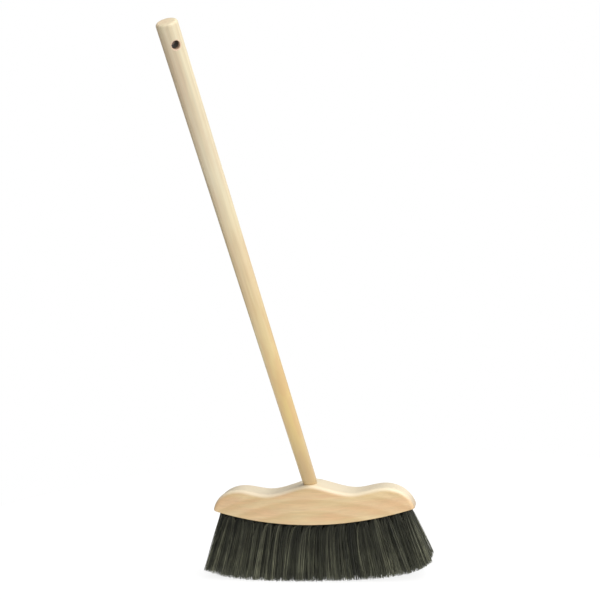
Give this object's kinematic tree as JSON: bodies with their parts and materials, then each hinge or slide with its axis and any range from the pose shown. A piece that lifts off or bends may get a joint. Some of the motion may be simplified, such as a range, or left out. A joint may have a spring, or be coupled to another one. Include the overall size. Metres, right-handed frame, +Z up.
{
  "type": "broom",
  "caption": "Short household broom: wavy-topped wooden head with dark fanned bristles, and a straight round wooden handle that slants forward and has a hang hole.",
  "frame": {"origin": "centre of the sweeping edge, level with the lowest bristle tips", "axes": "+Z up, +X along the stock, and the handle leans towards -Y as it rises"},
  "size_m": [0.3094, 0.449, 0.6117],
  "materials": {
    "stock_wood": "satin clear lacquer over pale beech",
    "handle_wood": "satin clear lacquer over pale wood dowel",
    "bristle": "stiff dark bristle, faint sheen",
    "anchor_wire": "flat drawn wire"
  },
  "bodies": {
    "handle": {"handle": "handle_wood"},
    "head": {"stock": "stock_wood", "tuft_anchors": "anchor_wire", "tuft_column_01": "bristle", "tuft_column_02": "bristle", "tuft_column_03": "bristle", "tuft_column_04": "bristle", "tuft_column_05": "bristle", "tuft_column_06": "bristle", "tuft_column_07": "bristle", "tuft_column_08": "bristle", "tuft_column_09": "bristle", "tuft_column_10": "bristle", "tuft_column_11": "bristle", "tuft_column_12": "bristle", "tuft_column_13": "bristle", "tuft_column_14": "bristle", "tuft_column_15": "bristle", "tuft_column_16": "bristle", "tuft_column_17": "bristle", "tuft_column_18": "bristle", "tuft_column_19": "bristle"}
  },
  "joints": [
    {"name": "head_pull_off", "type": "slide", "parent": "handle", "child": "head", "axis": [0, 0.6428, -0.766], "range_m": [0, 0.045]}
  ]
}
